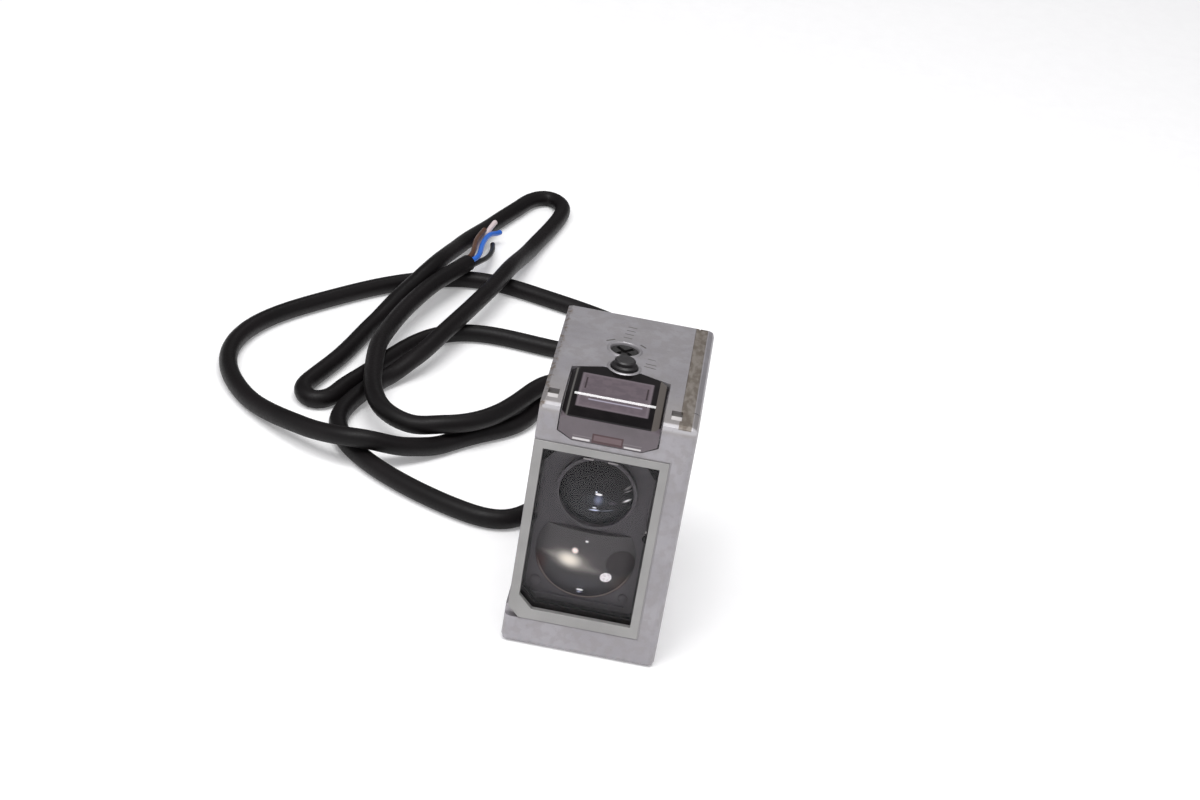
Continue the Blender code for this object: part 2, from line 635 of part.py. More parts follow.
# ---------------------------------------------------------------- cable
def cable_gland():
    """Bush in the back wall with a hexagonal collar, and the rubber sleeve behind it."""
    place = (GLAND_X, 0, GLAND_Z)
    back = BODY_Y[1]
    bush = disc(GLAND_R, CAVITY_Y[1] - 2, back + GAP + 0.5)
    turned_bush = turned("cable_gland", bush, (0, 1, 0), place, "dark_plastic", steps=24)
    collar = turned(
        "gland_collar", disc(5.3, back + GAP, back + GAP + 2.0), (0, 1, 0), place, steps=6
    )
    boolean(turned_bush, collar, "UNION")
    start = back + 2 * GAP + 2.0
    sleeve = [(0, start), (4.2, start), (4.2, start + 1.5)]
    ribs = 3
    for k in range(ribs):
        base = start + 1.5 + k * 2.4
        radius = 4.0 - 0.32 * k
        sleeve += [(radius - 0.5, base), (radius - 0.5, base + 0.8)]
        sleeve += [(radius, base + 0.8), (radius, base + 2.4)]
    sleeve += [(2.9, RELIEF_END_Y), (0, RELIEF_END_Y)]
    turned("strain_relief", sleeve, (0, 1, 0), place, "rubber", steps=20)


def plan_bends(route, steps):
    """Second derivatives of the natural cubic spline through the route."""
    size = len(route)
    system = np.eye(size)
    wanted = np.zeros((size, 3))
    for k in range(1, size - 1):
        before, after = steps[k - 1], steps[k]
        system[k, k - 1 : k + 2] = before, 2 * (before + after), after
        wanted[k] = 6 * ((route[k + 1] - route[k]) / after - (route[k] - route[k - 1]) / before)
    return np.linalg.solve(system, wanted)


def height_slopes(heights, steps):
    """Slopes that carry the height from point to point with no dip or overshoot."""
    rise = np.diff(heights) / steps
    slopes = np.zeros(len(heights))
    for k in range(1, len(heights) - 1):
        if rise[k - 1] * rise[k] > 0:
            slopes[k] = 2 * rise[k - 1] * rise[k] / (rise[k - 1] + rise[k])
    return slopes


def spread(line, count):
    """Points spread evenly along a line, closer together where it turns."""
    steps = np.diff(line, axis=0)
    lengths = np.linalg.norm(steps, axis=1)
    ways = steps / lengths[:, None]
    turns = np.concatenate([[0.0], np.linalg.norm(np.diff(ways, axis=0), axis=1)])
    along = np.concatenate([[0.0], np.cumsum(lengths + TURN_SHARE * turns)])
    even = np.linspace(0.0, along[-1], count)
    return np.stack([np.interp(even, along, line[:, k]) for k in range(3)], axis=1)


def smooth_line(points, count):
    """Points on one smooth curve through the given points."""
    route = np.array(points, float)
    steps = np.linalg.norm(np.diff(route, axis=0), axis=1) ** 0.5
    knots = np.concatenate([[0.0], np.cumsum(steps)])
    bends = plan_bends(route, steps)
    slopes = height_slopes(route[:, 2], steps)
    fine = np.linspace(0.0, knots[-1], 60 * len(route))
    span = np.clip(np.searchsorted(knots, fine, side="right") - 1, 0, len(route) - 2)
    after = span + 1
    width = steps[span]
    b = (fine - knots[span]) / width
    a = 1 - b
    line = a[:, None] * route[span] + b[:, None] * route[after]
    sag = (a**3 - a)[:, None] * bends[span] + (b**3 - b)[:, None] * bends[after]
    line += sag * (width**2)[:, None] / 6
    level = route[span, 2] * (1 + 2 * b) * a**2 + route[after, 2] * (3 - 2 * b) * b**2
    line[:, 2] = level + width * (slopes[span] * b * a**2 - slopes[after] * b**2 * a)
    return spread(line, count)


def tube(name, line, radius, finish, resolution=2):
    """A round cord of the given radius along a line of points."""
    curve = bpy.data.curves.new(name, "CURVE")
    curve.dimensions = "3D"
    curve.bevel_depth = radius * 0.001
    curve.bevel_resolution = resolution
    curve.use_fill_caps = True
    spline = curve.splines.new("POLY")
    spline.points.add(len(line) - 1)
    for point, place in zip(spline.points, line):
        point.co = (*mm(*place), 1.0)
    return add_object(name, curve, finish)


def cable():
    tube("cable", smooth_line(CABLE_ROUTE, CABLE_POINTS), CABLE_R, "cable_sheath")


def cores():
    for name, (finish, route) in CORE_ROUTES.items():
        tube(name, smooth_line(route, CORE_POINTS), CORE_R, finish)


def main():
    clear_scene()
    main_housing()
    side_cover()
    cover_gasket()
    cover_screws()
    mounting_sleeves()
    window_bezel()
    front_window()
    window_gasket()
    lens_plate()
    lenses()
    transmitter_ring()
    optics_holder()
    optics()
    boards()
    display_cover()
    push_button()
    trimmer_dial()
    cable_gland()
    cable()
    cores()


main()
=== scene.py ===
"""Looks of the photoelectric sensor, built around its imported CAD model."""

import json
import math

import bmesh
import bpy
import numpy as np
from mathutils import Matrix, Vector


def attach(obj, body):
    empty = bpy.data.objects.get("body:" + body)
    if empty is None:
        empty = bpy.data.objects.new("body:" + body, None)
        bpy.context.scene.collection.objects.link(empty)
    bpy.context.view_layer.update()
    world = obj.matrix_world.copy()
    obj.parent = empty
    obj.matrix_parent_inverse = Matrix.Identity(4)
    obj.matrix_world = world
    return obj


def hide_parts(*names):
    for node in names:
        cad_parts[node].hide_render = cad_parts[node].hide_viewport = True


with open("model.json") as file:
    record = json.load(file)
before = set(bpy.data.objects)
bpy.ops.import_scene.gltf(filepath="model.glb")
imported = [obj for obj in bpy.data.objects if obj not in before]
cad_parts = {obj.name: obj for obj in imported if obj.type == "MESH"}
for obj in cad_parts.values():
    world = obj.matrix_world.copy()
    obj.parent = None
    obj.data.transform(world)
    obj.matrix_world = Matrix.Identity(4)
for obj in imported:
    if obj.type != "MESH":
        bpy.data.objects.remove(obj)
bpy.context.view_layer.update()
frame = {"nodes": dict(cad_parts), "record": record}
NODES = frame["nodes"]

# Sizes are in millimetres and mm() turns them into metres. The lights are placed in metres.
CAMERA_PLACE = (11.2, -494.2, 304.5)
CAMERA_TARGET = (-4.57, -27, 66.27)
CAMERA_ROLL = 9.83  # degrees
CAMERA_LENS = 71.94  # focal length on a 36 mm wide film

CABLE_R = 2.5
CORE_R = 0.8
TX_CENTRE = (-1.9, 40.9)  # x, z of the upper lens
RX_CENTRE = (-2.0, 24.1)  # x, z of the lower lens
RX_TOP = 30.4
TX_R = 8.2
RX_R = 11.35
TX_DOME = 2.0  # height of each lens's dome
RX_DOME = 2.3
LENS_REACH = 0.25  # how far the glass reaches past the CAD lenses, into the lens plate
LENS_FRONT_Y = -21.7
LENS_BACK_Y = -20.2
BUTTON_XY = (-1.2, -2.2)
DIAL_XY = (-2.0, 6.9)
TOP_Z = 63.0
COVER_X = (-12.6, 9.7)
COVER_FACET_X = (-10.7, 7.7)  # inner edges of the side facets
COVER_FACET_DROP = 0.75  # how far the facets fall to the cover's sides
COVER_CORNER = 3.2  # cut corners at the foot of the skirt
COVER_CREASE_Y = -18.5
COVER_CREASE_HALF = 1.5  # half the depth of the rounded crease
COVER_FRONT_Y = -27.0
COVER_SLOPE = 1.8 / 8.5  # fall of the cover in front of the crease
COVER_UNDER_Z = 61.4
COVER_REAR_Y = -3.9
COVER_REAR_FALL = 2.7  # how far the rear edge's ends lie in front of its blunt point
COVER_REAR_X = (-5.9, 2.8)  # ends of the blunt point
NOTCH_R = 4.0  # round notch of the cover, at the button
SKIRT_Z = 55.4
SKIRT_CUT = 1.8
POCKET_X = (-16.45, 11.45)  # left walls of the two front pockets
POCKET_WIDE = 2.4
EDGE_Y = (-24.3, -24.1)  # thin pieces at the edge of the window
PLATE_Y = (-22.3, -21.75)  # raised details of the lens plate

# The cable's middle line, the same as the CAD cable's.
CABLE_ROUTE = [
    # out of the strain relief and round to the left, behind the housing
    (-2, 39, 10.5), (-2, 53, 10.2), (-2, 83, 2.5), (-2.5, 98, 2.5), (-7, 107.5, 2.5), (-14.5, 110, 2.5),
    (-21, 104, 2.5), (-24.5, 90, 2.5),
    # the wide loop, which passes over the last stretch before the housing
    (-29, 75, 2.5), (-38, 65.2, 2.5), (-46, 56, 2.6), (-54, 47.5, 4.6), (-66, 41, 8),
    (-82, 46.5, 5.5), (-101, 63, 2.5), (-110.5, 84, 2.5), (-107, 107, 2.5), (-92, 130, 2.5),
    (-74, 150, 2.5), (-53, 161, 2.5),
    # back behind the housing and out again
    (-34, 158, 2.5), (-14, 151, 2.5), (-3, 142, 2.5), (-5, 130, 2.5), (-16, 124.5, 2.5),
    (-32, 125, 2.5), (-48, 125, 2.5), (-60, 117, 2.5), (-68, 101, 2.5), (-73.7, 86, 2.5),
    # the tight fold at the left
    (-77.3, 76.5, 2.5), (-79.6, 70, 2.5), (-83.4, 67.4, 2.5), (-86.8, 71, 2.5), (-86.1, 79, 2.5),
    # over the wide loop to the fold at the back
    (-81.3, 96.5, 2.5), (-77, 119, 2.6), (-71.9, 136, 5.7), (-66.1, 154, 8.2), (-61.7, 179, 5.2),
    (-55, 206, 2.5), (-49.5, 222, 2.5), (-46, 230.6, 2.5), (-41.2, 234, 2.5), (-36.5, 230, 2.5),
    # over the wide loop again, and under it to the housing
    (-36.4, 216, 2.5), (-41, 189, 3.6), (-45.3, 158, 7.8), (-50.2, 133.7, 8), (-55.1, 114, 7.8),
    (-61, 96.5, 5.8), (-67.4, 86.5, 2.8), (-72.7, 73, 2.5), (-74, 56, 2.5), (-60, 37.3, 2.5),
    (-38, 25, 2.5), (-28, 22.9, 2.5),
    # behind the housing, then over everything to the cut end
    (-22.3, 25.6, 2.5), (-15, 38, 2.5), (-8.8, 58, 2.5), (-7.9, 74, 2.8), (-9.8, 87, 4.8),
    (-15.8, 94.5, 7.4), (-23, 91.5, 7.9), (-28.7, 80, 7.9), (-36, 65.5, 7.9), (-46, 57.3, 7.9),
    (-55.3, 56, 6.8), (-63, 60, 7.3), (-67.8, 69, 8), (-70, 80, 8), (-71.6, 95, 8), (-70.9, 110, 7.2),
    (-68, 127, 7.4), (-63.2, 143.5, 8), (-57, 160, 8),
]
CORE_ROUTES = {
    "core_blue": [
        (-56.1, 159.97, 8.85), (-54.7, 164.6, 8.7), (-55, 175, 7.4), (-54.4, 189, 5.6), (-52, 195.7, 4.2),
    ],
    "core_brown": [
        (-57.68, 160.59, 8.85), (-56.6, 165.2, 8.9), (-57.1, 175, 8.1), (-57, 184, 7.1), (-56.4, 190, 6.5),
    ],
    "core_black": [
        (-56.1, 159.97, 7.15), (-54.4, 164.5, 6.8), (-52.6, 173, 5.2), (-52.4, 183, 3.4), (-53.2, 190, 2.2),
    ],
    "core_white": [
        (-57.68, 160.59, 7.15), (-57, 166, 6.7), (-57.2, 175, 5.9), (-56.4, 187, 4.3), (-54.3, 199, 5.8),
    ],
}

# Mottled finishes by name: light and dark colour, lowest and highest roughness, grain per metre and
# depth of the bump in metres.
PLAIN_FINISHES = {
    "satin_frame": ((0.315, 0.31, 0.305), (0.275, 0.27, 0.265), (0.32, 0.45), 3600, 0.00001),
    "bright_steel": ((0.7, 0.69, 0.67), (0.58, 0.57, 0.56), (0.15, 0.3), 5000, 0.000006),
    "rim_metal": ((0.335, 0.323, 0.336), (0.3, 0.288, 0.3), (0.32, 0.42), 3000, 0.00001),
    "dark_plastic": ((0.07, 0.063, 0.071), (0.058, 0.053, 0.06), (0.45, 0.55), 4000, 0.000001),
    "black_button": ((0.016, 0.014, 0.015), (0.011, 0.01, 0.011), (0.3, 0.45), 5000, 0.000008),
    "rubber": ((0.024, 0.022, 0.022), (0.016, 0.015, 0.015), (0.55, 0.8), 2500, 0.00002),
    "circuit_board": ((0.02, 0.13, 0.06), (0.015, 0.10, 0.045), (0.3, 0.5), 1500, 0.00001),
    "component": ((0.03, 0.03, 0.034), (0.02, 0.02, 0.024), (0.4, 0.6), 4000, 0.00001),
    "cable_sheath": ((0.006, 0.0045, 0.005), (0.0035, 0.0028, 0.003), (0.4, 0.55), 1800, 0.000025),
    "blue_core": ((0.025, 0.15, 0.62), (0.02, 0.11, 0.5), (0.3, 0.45), 3000, 0.00001),
    "brown_core": ((0.09, 0.038, 0.02), (0.07, 0.03, 0.016), (0.3, 0.5), 3000, 0.00001),
    "black_core": ((0.018, 0.017, 0.018), (0.012, 0.011, 0.012), (0.3, 0.5), 3000, 0.00001),
    "white_core": ((0.62, 0.52, 0.53), (0.55, 0.46, 0.47), (0.3, 0.5), 3000, 0.00001),
    "indicator": ((0.28, 0.14, 0.14), (0.24, 0.12, 0.12), (0.25, 0.35), 3000, 0.00001),
    "black_paint": ((0.006, 0.005, 0.006), (0.004, 0.004, 0.004), (0.5, 0.6), 3000, 0.000002),
    # grey_paint also colours the pocket floors, which stand for painted shade
    "grey_paint": ((0.10, 0.095, 0.09), (0.07, 0.065, 0.06), (0.5, 0.6), 3000, 0.000002),
    # pale_plastic also colours the pocket ramps, which stand for a painted highlight
    "pale_plastic": ((0.55, 0.53, 0.52), (0.42, 0.4, 0.4), (0.3, 0.4), 3000, 0.000002),
}
METALLIC = {"satin_frame": 0.5, "bright_steel": 1.0, "rim_metal": 0.5}
SPECULAR = {"cable_sheath": 0.2, "black_paint": 0.05}
USUAL_MOTTLE = 120  # slow variation per metre
MOTTLE = {"cable_sheath": 60}


def mm(*values):
    """Millimetres to metres."""
    return tuple(v * 0.001 for v in values)


# ---------------------------------------------------------------- camera, floor and light
def aim(obj, place, target, roll=0.0):
    """Put obj at place, looking at target, turned about its own axis."""
    back = (Vector(place) - Vector(target)).normalized()
    right = Vector((0, 0, 1)).cross(back).normalized()
    up = back.cross(right)
    side = right * math.cos(roll) + up * math.sin(roll)
    top = up * math.cos(roll) - right * math.sin(roll)
    turn = Matrix((side, top, back)).transposed()
    obj.matrix_world = Matrix.Translation(place) @ turn.to_4x4()


def make_camera():
    """The camera, in front of the sensor and above it."""
    data = bpy.data.cameras.new("camera")
    data.sensor_width = 36
    data.lens = CAMERA_LENS
    data.clip_start, data.clip_end = 0.05, 20
    camera = bpy.data.objects.new("camera", data)
    bpy.context.scene.collection.objects.link(camera)
    aim(camera, mm(*CAMERA_PLACE), mm(*CAMERA_TARGET), math.radians(CAMERA_ROLL))
    bpy.context.scene.camera = camera


def area_light(name, place, target, size, power):
    """A white rectangular light, in metres and watts."""
    data = bpy.data.lights.new(name, "AREA")
    data.shape = "RECTANGLE"
    data.size, data.size_y = size
    data.energy = power
    light = bpy.data.objects.new(name, data)
    bpy.context.scene.collection.objects.link(light)
    aim(light, place, target)


def make_light():
    """A pale room, two soft lights above and one small light behind."""
    world = bpy.data.worlds.new("studio")
    bpy.context.scene.world = world
    world.use_nodes = True
    tree = world.node_tree
    background = tree.nodes["Background"]
    background.inputs["Color"].default_value = (0.96, 0.95, 0.98, 1)
    # the room is bright in front and at the sides, and dim behind
    way = tree.nodes.new("ShaderNodeTexCoord").outputs["Generated"]
    parts = tree.nodes.new("ShaderNodeSeparateXYZ")
    tree.links.new(way, parts.inputs[0])
    fade = tree.nodes.new("ShaderNodeMapRange")
    fade.interpolation_type = "SMOOTHSTEP"
    for socket, value in (("From Min", 0.05), ("From Max", 0.6), ("To Min", 0.68), ("To Max", 0.13)):
        fade.inputs[socket].default_value = value
    tree.links.new(parts.outputs["Y"], fade.inputs["Value"])
    tree.links.new(fade.outputs[0], background.inputs["Strength"])
    top = mm(0, 0, 60)
    area_light("key", (-0.35, -0.45, 0.95), top, (0.5, 0.4), 4)
    area_light("ceiling", (0.05, -0.15, 1.1), top, (0.6, 0.35), 6)
    # a small light behind, which only the crease of the display cover shows
    crease = mm(-1.5, COVER_CREASE_Y, TOP_Z)
    area_light("crease_glint", (-0.026, 0.755, 0.759), crease, (0.12, 0.13), 0.55)


# ---------------------------------------------------------------- materials
class Finish:
    """A Principled material whose nodes are added one by one. Textures use metres."""

    def __init__(self, name, **values):
        self.made = bpy.data.materials.new(name)
        self.made.use_nodes = True
        self.tree = self.made.node_tree
        self.shader = self.tree.nodes["Principled BSDF"]
        self.place = self.tree.nodes.new("ShaderNodeTexCoord").outputs["Object"]
        for socket, value in values.items():
            self.set(socket.replace("_", " "), value)

    def set(self, socket, value):
        if isinstance(value, bpy.types.NodeSocket):
            self.tree.links.new(value, self.shader.inputs[socket])
        elif isinstance(value, tuple):
            self.shader.inputs[socket].default_value = (*value, 1)
        else:
            self.shader.inputs[socket].default_value = value

    def node(self, kind, inputs=(), **settings):
        made = self.tree.nodes.new("ShaderNode" + kind)
        for key, value in settings.items():
            setattr(made, key, value)
        for number, value in enumerate(inputs):
            if isinstance(value, bpy.types.NodeSocket):
                self.tree.links.new(value, made.inputs[number])
            elif value is not None:
                made.inputs[number].default_value = value
        return made

    def math(self, operation, *values):
        return self.node("Math", values, operation=operation).outputs[0]

    def noise(self, scale, detail=3.0, stretch=(1, 1, 1)):
        """Noise with features of about 1/scale metres."""
        moved = self.node("Mapping", [self.place, (0, 0, 0), (0, 0, 0), stretch]).outputs[0]
        made = self.node("TexNoise", [moved])
        made.inputs["Scale"].default_value = scale
        made.inputs["Detail"].default_value = detail
        return made.outputs["Fac"]

    def spread(self, value, low, high, to_low=0.0, to_high=1.0):
        """Maps value from low..high to to_low..to_high, with soft ends."""
        inputs = [value, low, high, to_low, to_high]
        return self.node("MapRange", inputs, interpolation_type="SMOOTHSTEP").outputs[0]

    def mix(self, share, one, two):
        made = self.node("Mix", data_type="RGBA")
        for socket, value in (("Factor", share), ("A", one), ("B", two)):
            target = [s for s in made.inputs if s.name == socket and s.enabled][0]
            if isinstance(value, bpy.types.NodeSocket):
                self.tree.links.new(value, target)
            else:
                target.default_value = (*value, 1) if isinstance(value, tuple) else value
        return [s for s in made.outputs if s.enabled][0]

    def bump(self, height, depth):
        made = self.node("Bump", [1.0, depth])
        self.tree.links.new(height, made.inputs["Height"])
        self.set("Normal", made.outputs[0])

    def spot(self, centre, radii, turn=0.0, core=0.0):
        """1 within core of an oval's middle, falling to 0 at its edge. The oval lies in x and z."""
        x, z = mm(*centre)
        wide, high = mm(*radii)
        far = 1000.0  # stretches the third axis until it counts for nothing
        settings = [(x, 0, z), (0, -math.radians(turn), 0), (wide, far, high)]
        moved = self.node("Mapping", [self.place, *settings], vector_type="TEXTURE").outputs[0]
        distance = self.node("VectorMath", [moved], operation="LENGTH").outputs["Value"]
        return self.spread(distance, core, 1.0, 1.0, 0.0)

    def layers(self, base, spots):
        """Lay (mask, colour) pairs over a base colour, in order."""
        for mask, colour in spots:
            base = self.mix(mask, base, colour)
        return base

    def box(self, one, two, limits_one, limits_two, soft):
        """1 inside a rectangle of two axes."""
        return self.math("MULTIPLY", self.band(one, *limits_one, soft), self.band(two, *limits_two, soft))

    def axes(self):
        """x, y and z of the surface, in millimetres."""
        parts = self.node("SeparateXYZ", [self.place]).outputs
        return [self.math("MULTIPLY", part, 1000.0) for part in parts]

    def band(self, value, low, high, soft):
        """1 between low and high, falling to 0 over soft."""
        rise = self.spread(value, low - soft, low + soft)
        fall = self.spread(value, high - soft, high + soft, 1.0, 0.0)
        return self.math("MULTIPLY", rise, fall)


def mottled(name, light, dark, roughness, grain, depth, mottle, **values):
    """A surface with slow colour variation, fine grain and uneven gloss."""
    finish = Finish(name, **values)
    slow = finish.spread(finish.noise(mottle, 4), 0.3, 0.7)
    fine = finish.noise(grain, 3)
    finish.set("Base Color", finish.mix(slow, light, dark))
    finish.set("Roughness", finish.spread(fine, 0.25, 0.75, *roughness))
    finish.bump(fine, depth)
    return finish


def die_cast_finish():
    """The grey casting, with brown wear along its top left edge and in the strip at the right."""
    finish = Finish("die_cast", Metallic=0.5)
    x, y, z = finish.axes()
    slow = finish.spread(finish.noise(90, 5), 0.35, 0.65)
    base = finish.mix(slow, (0.345, 0.332, 0.352), (0.3, 0.288, 0.306))
    specks = finish.spread(finish.noise(420, 6), 0.44, 0.6, 0.0, 0.5)
    base = finish.mix(specks, base, (0.275, 0.26, 0.262))
    # warmer towards the front of the top, with a painted highlight along the front edge
    warm = finish.math("MULTIPLY", finish.spread(y, -8.0, -22.0), finish.spread(z, 60.0, 62.0))
    base = finish.mix(finish.math("MULTIPLY", warm, 0.6), base, (0.325, 0.303, 0.29))
    # painted highlight: the rounded front edge is painted lighter
    painted_edge_highlight = finish.math("MULTIPLY", finish.band(y, -27.2, -25.5, 0.25), finish.spread(z, 61.3, 62.0))
    base = finish.mix(finish.math("MULTIPLY", painted_edge_highlight, 0.8), base, (0.56, 0.55, 0.57))
    # worn strip over the joint of the side cover
    top = finish.spread(z, 62.2, 62.45)
    strip = finish.math("MULTIPLY", finish.band(x, 13.45, 16.35, 0.06), top)
    streaks = finish.spread(finish.noise(800, 6, (1.0, 0.45, 1.0)), 0.38, 0.62)
    base = finish.mix(strip, base, finish.mix(streaks, (0.155, 0.13, 0.108), (0.25, 0.225, 0.2)))
    # brown flecks along the left edge, and dark pits all over
    edge = finish.math("MULTIPLY", finish.band(x, -18.0, -16.3, 0.5), finish.spread(z, 61.0, 62.5))
    flecks = finish.math("MULTIPLY", edge, finish.spread(finish.noise(650, 5), 0.5, 0.62))
    base = finish.mix(flecks, base, (0.2, 0.168, 0.145))
    pits = finish.spread(finish.noise(1500, 2), 0.66, 0.74, 0.0, 0.35)
    base = finish.mix(pits, base, (0.21, 0.19, 0.182))
    # painted shade: the recess behind the window is painted near black
    opening = finish.box(x, z, (-16.9, 12.6), (7.9, 53.3), 0.05)
    inside = finish.math("MULTIPLY", opening, finish.band(y, -25.3, -20.0, 0.05))
    finish.set("Base Color", finish.mix(inside, base, (0.008, 0.007, 0.008)))
    fine = finish.noise(2600, 3)
    finish.set("Roughness", finish.spread(fine, 0.25, 0.75, 0.34, 0.46))
    finish.bump(finish.math("ADD", fine, finish.noise(420, 2)), 0.00002)
    return finish.made


def plain_finishes():
    """The mottled materials, by name."""
    made = {}
    for name, look in PLAIN_FINISHES.items():
        mottle = MOTTLE.get(name, USUAL_MOTTLE)
        finish = mottled(name, *look, mottle, Metallic=METALLIC.get(name, 0.0))
        if name in SPECULAR:
            finish.set("Specular IOR Level", SPECULAR[name])
        made[name] = finish.made
    return made


# ---------------------------------------------------------------- mesh helpers
def piece(name, bm, material, smooth=True, angle=35):
    """A mesh object that rides on the housing."""
    bmesh.ops.recalc_face_normals(bm, faces=bm.faces)
    mesh = bpy.data.meshes.new(name)
    bm.to_mesh(mesh)
    bm.free()
    if smooth:
        mesh.shade_smooth()
        mesh.set_sharp_from_angle(angle=math.radians(angle))
    obj = bpy.data.objects.new(name, mesh)
    bpy.context.scene.collection.objects.link(obj)
    mesh.materials.append(material)
    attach(obj, "housing")
    return obj


def smooth_line(points, spacing):
    """Evenly spaced points, in millimetres, on one smooth curve through the given points."""
    route = np.array(points, float)
    size = len(route)
    steps = np.linalg.norm(np.diff(route, axis=0), axis=1) ** 0.5
    knots = np.concatenate([[0.0], np.cumsum(steps)])
    system, wanted = np.eye(size), np.zeros((size, 3))
    slopes = np.zeros(size)
    rise = np.diff(route[:, 2]) / steps
    for k in range(1, size - 1):
        before, after = steps[k - 1], steps[k]
        system[k, k - 1 : k + 2] = before, 2 * (before + after), after
        wanted[k] = 6 * ((route[k + 1] - route[k]) / after - (route[k] - route[k - 1]) / before)
        if rise[k - 1] * rise[k] > 0:
            slopes[k] = 2 * rise[k - 1] * rise[k] / (rise[k - 1] + rise[k])
    bends = np.linalg.solve(system, wanted)
    fine = np.linspace(0.0, knots[-1], 60 * size)
    span = np.clip(np.searchsorted(knots, fine, side="right") - 1, 0, size - 2)
    after = span + 1
    width = steps[span]
    b = (fine - knots[span]) / width
    a = 1 - b
    line = a[:, None] * route[span] + b[:, None] * route[after]
    sag = (a**3 - a)[:, None] * bends[span] + (b**3 - b)[:, None] * bends[after]
    line += sag * (width**2)[:, None] / 6
    level = route[span, 2] * (1 + 2 * b) * a**2 + route[after, 2] * (3 - 2 * b) * b**2
    line[:, 2] = level + width * (slopes[span] * b * a**2 - slopes[after] * b**2 * a)
    along = np.concatenate([[0.0], np.cumsum(np.linalg.norm(np.diff(line, axis=0), axis=1))])
    even = np.linspace(0.0, along[-1], max(2, round(along[-1] / spacing)) + 1)
    return np.stack([np.interp(even, along, line[:, k]) for k in range(3)], axis=1)


def line_frames(line):
    """Two unit directions across the line at each point, carried along without twist."""
    ways = np.gradient(line, axis=0)
    ways /= np.linalg.norm(ways, axis=1)[:, None]
    across = np.cross(ways[0], (0, 0, 1.0))
    across /= np.linalg.norm(across)
    pairs = []
    for way in ways:
        across = across - way * across.dot(way)
        across /= np.linalg.norm(across)
        pairs.append((across.copy(), np.cross(way, across)))
    return pairs


def tube(line, radius, sides):
    """A closed round tube along a line."""
    bm = bmesh.new()
    rings = []
    for point, (one, two) in zip(line, line_frames(line)):
        ring = []
        for k in range(sides):
            turn = math.tau * k / sides
            place = point + radius * (math.cos(turn) * one + math.sin(turn) * two)
            ring.append(bm.verts.new(mm(*place)))
        rings.append(ring)
    for one, two in zip(rings, rings[1:]):
        for k in range(sides):
            after = (k + 1) % sides
            bm.faces.new((one[k], one[after], two[after], two[k]))
    bm.faces.new(rings[0])
    bm.faces.new(rings[-1])
    return bm


def turned(bm, profile, centre, axis, steps):
    """Spin a (radius, height) profile, in millimetres, about a line along y or z."""
    rings = []
    for radius, height in profile:
        if radius == 0:
            place = (0, height, 0) if axis == "y" else (0, 0, height)
            rings.append([bm.verts.new(mm(*(c + p for c, p in zip(centre, place))))])
            continue
        ring = []
        for k in range(steps):
            c, s = radius * math.cos(math.tau * k / steps), radius * math.sin(math.tau * k / steps)
            place = (c, height, s) if axis == "y" else (c, s, height)
            ring.append(bm.verts.new(mm(*(a + b for a, b in zip(centre, place)))))
        rings.append(ring)
    for one, two in zip(rings, rings[1:]):
        for k in range(steps):
            after = (k + 1) % steps
            # a ring at radius 0 is a single point, so a corner may be there twice
            corners = [one[k % len(one)], one[after % len(one)], two[after % len(two)], two[k % len(two)]]
            bm.faces.new(list(dict.fromkeys(corners)))


# ---------------------------------------------------------------- cable
def make_cores(finishes):
    """The insulated cores that come out of the cut end."""
    made = []
    for name, route in CORE_ROUTES.items():
        colour = name.replace("core_", "")
        bm = tube(smooth_line(route, 0.5), CORE_R, 14)
        core = piece(name + "_insulation", bm, finishes[colour + "_core"])
        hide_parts(name)
        made.append(core)
    return made


def make_cable(finishes):
    """The cable's sheath, and the cores at its cut end."""
    line = smooth_line(CABLE_ROUTE, 1.5)
    cable = piece("cable_sheath", tube(line, CABLE_R, 24), finishes["cable_sheath"])
    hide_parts("cable")
    cores = make_cores(finishes)


# ---------------------------------------------------------------- CAD pieces that stay
def soften(obj, width):
    """Round the sharp edges of a CAD node by a small bevel."""
    weld = obj.modifiers.new("weld", "WELD")
    weld.merge_threshold = 0.000001
    flat = obj.modifiers.new("flat", "DECIMATE")
    flat.decimate_type = "DISSOLVE"
    flat.angle_limit = math.radians(0.5)
    bevel = obj.modifiers.new("bevel", "BEVEL")
    bevel.width = width * 0.001
    bevel.segments = 2
    bevel.limit_method = "ANGLE"
    bevel.angle_limit = math.radians(30)
    bevel.harden_normals = True


def finish_nodes(finishes):
    """Give every CAD node the finish of its material slot."""
    for entry in frame["record"]["subparts"]:
        obj = NODES[entry["node"]]
        obj.data.materials.clear()
        obj.data.materials.append(finishes[entry["material_slot"]])
    NODES["trimmer_dial"].data.materials[0] = finishes["dial"]
    for name in ("main_housing", "side_cover"):
        soften(NODES[name], 0.25)
    soften(NODES["window_bezel"], 0.4)


def make_floor():
    """A pale floor with a little light of its own, so that it shows white."""
    bm = bmesh.new()
    bmesh.ops.create_grid(bm, x_segments=1, y_segments=1, size=3)
    light, dark = (0.86, 0.86, 0.86), (0.84, 0.84, 0.84)
    finish = mottled("pale_floor", light, dark, (0.5, 0.6), 300, 0.00001, USUAL_MOTTLE)
    finish.set("Emission Color", (1.0, 1.0, 1.0))
    finish.set("Emission Strength", 0.2)
    mesh = bpy.data.meshes.new("floor")
    bm.to_mesh(mesh)
    bm.free()
    mesh.materials.append(finish.made)
    floor = bpy.data.objects.new("floor", mesh)
    bpy.context.scene.collection.objects.link(floor)


def window_finish():
    """Clear glass with a light tint."""
    window = Finish("tinted_window", Base_Color=(0.93, 0.915, 0.93), IOR=1.22)
    window.set("Roughness", window.spread(window.noise(300, 3), 0.3, 0.7, 0.01, 0.04))
    window.set("Transmission Weight", 1.0)
    return window.made


